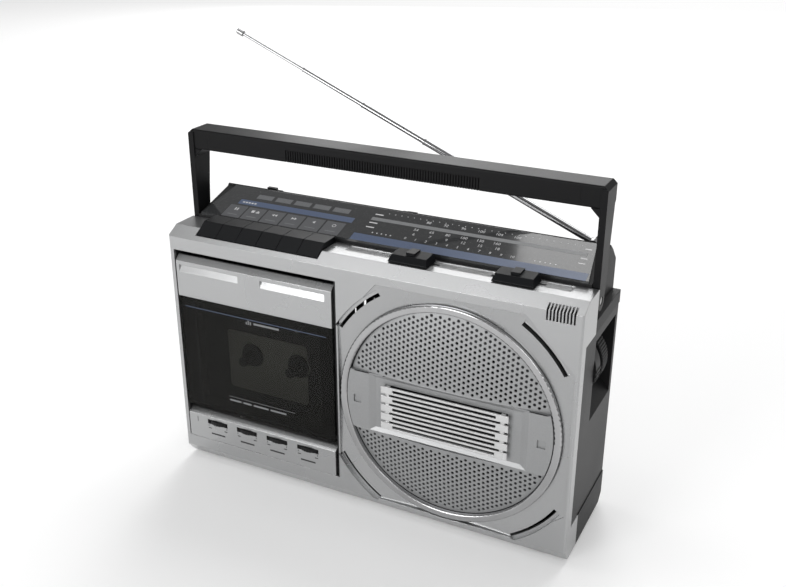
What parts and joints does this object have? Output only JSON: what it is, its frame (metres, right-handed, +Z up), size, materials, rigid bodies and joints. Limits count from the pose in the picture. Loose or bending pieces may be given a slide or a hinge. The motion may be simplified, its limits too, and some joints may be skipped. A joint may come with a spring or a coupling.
{
  "type": "portable radio cassette recorder",
  "caption": "Portable mono radio cassette recorder with a folding handle, a telescopic aerial, piano keys and one large loudspeaker.",
  "frame": {"origin": "on the table, under the middle of the case", "axes": "+X along the case to the loudspeaker's side, +Y from the front to the back, +Z up"},
  "size_m": [0.3215, 0.0918, 0.3333],
  "materials": {
    "silver": "satin silver paint over moulded styrene",
    "dark_case": "dark grey moulded styrene",
    "panel_black": "fine-grained black moulding",
    "dial": "clear acrylic with a printed back",
    "window": "smoked clear styrene",
    "white_plastic": "gloss moulding",
    "inner_plastic": "plain moulding",
    "steel": "plated steel",
    "chrome": "bright plated",
    "perforated": "silver painted perforated steel",
    "bright_ring": "bright spun rim",
    "rubber": "moulded rubber",
    "board": "paper laminate circuit board",
    "paper": "pressed paper cone",
    "iron": "ferrite and laminated iron",
    "brass": "plated contacts"
  },
  "bodies": {
    "case": {"front_shell": "silver", "rear_shell": "dark_case", "side_panels": "panel_black", "headphone_jack": "inner_plastic", "dial_lens": "dial", "deck_frame": "inner_plastic", "deck_motor": "steel", "drive_belt": "rubber", "control_fascia": "panel_black", "tone_controls": "board", "key_mount": "steel", "slide_switches": "steel", "speaker_ring": "bright_ring", "speaker_grille": "perforated", "grille_fins": "white_plastic", "speaker_basket": "iron", "speaker_cone": "paper", "tuning_capacitor": "inner_plastic", "handle_pins": "steel", "battery_tray": "inner_plastic", "battery_contacts": "steel", "mains_inlet": "inner_plastic", "mains_transformer": "iron", "radio_board": "board", "microphone": "inner_plastic", "feet": "rubber", "case_screws": "steel"},
    "cassette_door": {"door_panel": "silver", "door_window": "window", "cassette_holder": "inner_plastic"},
    "tape_bridge": {"head_bridge": "steel", "tape_heads": "steel"},
    "handle": {"handle_frame": "panel_black", "handle_grip": "panel_black"},
    "dial_pointer": {"dial_pointer": "white_plastic"},
    "supply_spindle": {"supply_spindle": "inner_plastic"},
    "takeup_spindle": {"takeup_spindle": "inner_plastic"},
    "capstan_flywheel": {"capstan_flywheel": "steel"},
    "motor_pulley": {"motor_pulley": "brass"},
    "pinch_roller": {"pinch_roller": "rubber"},
    "volume_wheel": {"volume_wheel": "panel_black"},
    "treble_wheel": {"treble_wheel": "panel_black"},
    "bass_wheel": {"bass_wheel": "panel_black"},
    "mic_volume_wheel": {"mic_volume_wheel": "panel_black"},
    "pause_key": {"pause_key": "silver"},
    "stop_key": {"stop_key": "silver"},
    "rewind_key": {"rewind_key": "silver"},
    "forward_key": {"forward_key": "silver"},
    "play_key": {"play_key": "silver"},
    "record_key": {"record_key": "silver"},
    "function_slider": {"function_slider": "panel_black"},
    "band_slider": {"band_slider": "panel_black"},
    "fine_tuning_wheel": {"fine_tuning_wheel": "panel_black"},
    "tuning_wheel": {"tuning_wheel": "panel_black"},
    "aerial_swivel": {"aerial_swivel": "chrome"},
    "aerial_base_tube": {"aerial_base_tube": "chrome"},
    "aerial_second_tube": {"aerial_second_tube": "chrome"},
    "aerial_third_tube": {"aerial_third_tube": "chrome"},
    "aerial_tip_section": {"aerial_tip_section": "chrome"},
    "battery_cover": {"battery_cover": "dark_case"}
  },
  "joints": [
    {"name": "door_hinge", "type": "hinge", "parent": "case", "child": "cassette_door", "pos_m": [-0.089, -0.041, 0.054], "axis": [1, 0, 0], "range_deg": [0, 35]},
    {"name": "supply_turn", "type": "hinge", "parent": "case", "child": "supply_spindle", "pos_m": [-0.11035, -0.016, 0.0905], "axis": [0, 1, 0], "continuous": true},
    {"name": "takeup_turn", "type": "hinge", "parent": "case", "child": "takeup_spindle", "pos_m": [-0.06785, -0.016, 0.0905], "axis": [0, 1, 0], "continuous": true},
    {"name": "capstan_turn", "type": "hinge", "parent": "case", "child": "capstan_flywheel", "pos_m": [-0.0631, -0.016, 0.1255], "axis": [0, 1, 0], "continuous": true},
    {"name": "motor_turn", "type": "hinge", "parent": "case", "child": "motor_pulley", "pos_m": [-0.1271, -0.016, 0.1305], "axis": [0, 1, 0], "continuous": true},
    {"name": "bridge_slide", "type": "slide", "parent": "case", "child": "tape_bridge", "axis": [0, 0, -1], "range_m": [0, 0.0081]},
    {"name": "pinch_turn", "type": "hinge", "parent": "tape_bridge", "child": "pinch_roller", "pos_m": [-0.0621, -0.022, 0.1411], "axis": [0, 1, 0], "continuous": true},
    {"name": "volume_turn", "type": "hinge", "parent": "case", "child": "volume_wheel", "pos_m": [-0.1281, -0.0348, 0.0382], "axis": [0, 0, 1], "range_deg": [-140, 140]},
    {"name": "treble_turn", "type": "hinge", "parent": "case", "child": "treble_wheel", "pos_m": [-0.1003, -0.0348, 0.0382], "axis": [0, 0, 1], "range_deg": [-140, 140]},
    {"name": "bass_turn", "type": "hinge", "parent": "case", "child": "bass_wheel", "pos_m": [-0.0725, -0.0348, 0.0382], "axis": [0, 0, 1], "range_deg": [-140, 140]},
    {"name": "mic_volume_turn", "type": "hinge", "parent": "case", "child": "mic_volume_wheel", "pos_m": [-0.0447, -0.0348, 0.0382], "axis": [0, 0, 1], "range_deg": [-140, 140]},
    {"name": "pause_press", "type": "hinge", "parent": "case", "child": "pause_key", "pos_m": [-0.12904, -0.008, 0.192], "axis": [1, 0, 0], "range_deg": [0, 8], "stiffness_Nm_per_rad": 0.15, "springref_deg": -20.05},
    {"name": "stop_press", "type": "hinge", "parent": "case", "child": "stop_key", "pos_m": [-0.1117, -0.008, 0.192], "axis": [1, 0, 0], "range_deg": [0, 8], "stiffness_Nm_per_rad": 0.15, "springref_deg": -20.05},
    {"name": "rewind_press", "type": "hinge", "parent": "case", "child": "rewind_key", "pos_m": [-0.09438, -0.008, 0.192], "axis": [1, 0, 0], "range_deg": [0, 8], "stiffness_Nm_per_rad": 0.15, "springref_deg": -20.05},
    {"name": "forward_press", "type": "hinge", "parent": "case", "child": "forward_key", "pos_m": [-0.07705, -0.008, 0.192], "axis": [1, 0, 0], "range_deg": [0, 8], "stiffness_Nm_per_rad": 0.15, "springref_deg": -20.05},
    {"name": "play_press", "type": "hinge", "parent": "case", "child": "play_key", "pos_m": [-0.05971, -0.008, 0.192], "axis": [1, 0, 0], "range_deg": [0, 8], "stiffness_Nm_per_rad": 0.15, "springref_deg": -20.05},
    {"name": "record_press", "type": "hinge", "parent": "case", "child": "record_key", "pos_m": [-0.04238, -0.008, 0.192], "axis": [1, 0, 0], "range_deg": [0, 8], "stiffness_Nm_per_rad": 0.15, "springref_deg": -20.05},
    {"name": "function_shift", "type": "slide", "parent": "case", "child": "function_slider", "axis": [1, 0, 0], "range_m": [-0.014, 0.014]},
    {"name": "band_shift", "type": "slide", "parent": "case", "child": "band_slider", "axis": [1, 0, 0], "range_m": [-0.014, 0.014]},
    {"name": "fine_turn", "type": "hinge", "parent": "case", "child": "fine_tuning_wheel", "pos_m": [0.1355, -0.0025, 0.1355], "axis": [0, 1, 0], "range_deg": [-150, 150]},
    {"name": "tuning_turn", "type": "hinge", "parent": "case", "child": "tuning_wheel", "pos_m": [0.1355, 0.0125, 0.1355], "axis": [0, 1, 0], "range_deg": [-540, 540]},
    {"name": "pointer_shift", "type": "slide", "parent": "case", "child": "dial_pointer", "axis": [1, 0, 0], "range_m": [-0.0715, 0.0715]},
    {"name": "handle_swing", "type": "hinge", "parent": "case", "child": "handle", "pos_m": [0, -0.0055, 0.187], "axis": [-1, 0, 0], "range_deg": [0, 20]},
    {"name": "aerial_turn", "type": "hinge", "parent": "case", "child": "aerial_swivel", "pos_m": [0.14, 0.0395, 0.2], "axis": [0, 0, -1], "range_deg": [0, 180]},
    {"name": "aerial_tilt", "type": "hinge", "parent": "aerial_swivel", "child": "aerial_base_tube", "pos_m": [0.14, 0.0395, 0.209], "axis": [0, 1, 0], "range_deg": [-23.2, 66.8]},
    {"name": "second_tube_shift", "type": "slide", "parent": "aerial_base_tube", "child": "aerial_second_tube", "axis": [-0.9191, 0, 0.3939], "range_m": [-0.053, 0.058]},
    {"name": "third_tube_shift", "type": "slide", "parent": "aerial_second_tube", "child": "aerial_third_tube", "axis": [-0.9191, 0, 0.3939], "range_m": [-0.053, 0.058]},
    {"name": "tip_shift", "type": "slide", "parent": "aerial_third_tube", "child": "aerial_tip_section", "axis": [-0.9191, 0, 0.3939], "range_m": [-0.055, 0.058]},
    {"name": "battery_cover_hinge", "type": "hinge", "parent": "case", "child": "battery_cover", "pos_m": [-0.021, 0.04375, 0.0145], "axis": [-1, 0, 0], "range_deg": [0, 95]}
  ],
  "couplings": [
    {"joint": "bridge_slide", "follows": "play_press", "m_per_rad": 0.0573},
    {"joint": "motor_turn", "follows": "capstan_turn", "ratio": 5.4},
    {"joint": "pointer_shift", "follows": "tuning_turn", "m_per_rad": 0.0075}
  ]
}
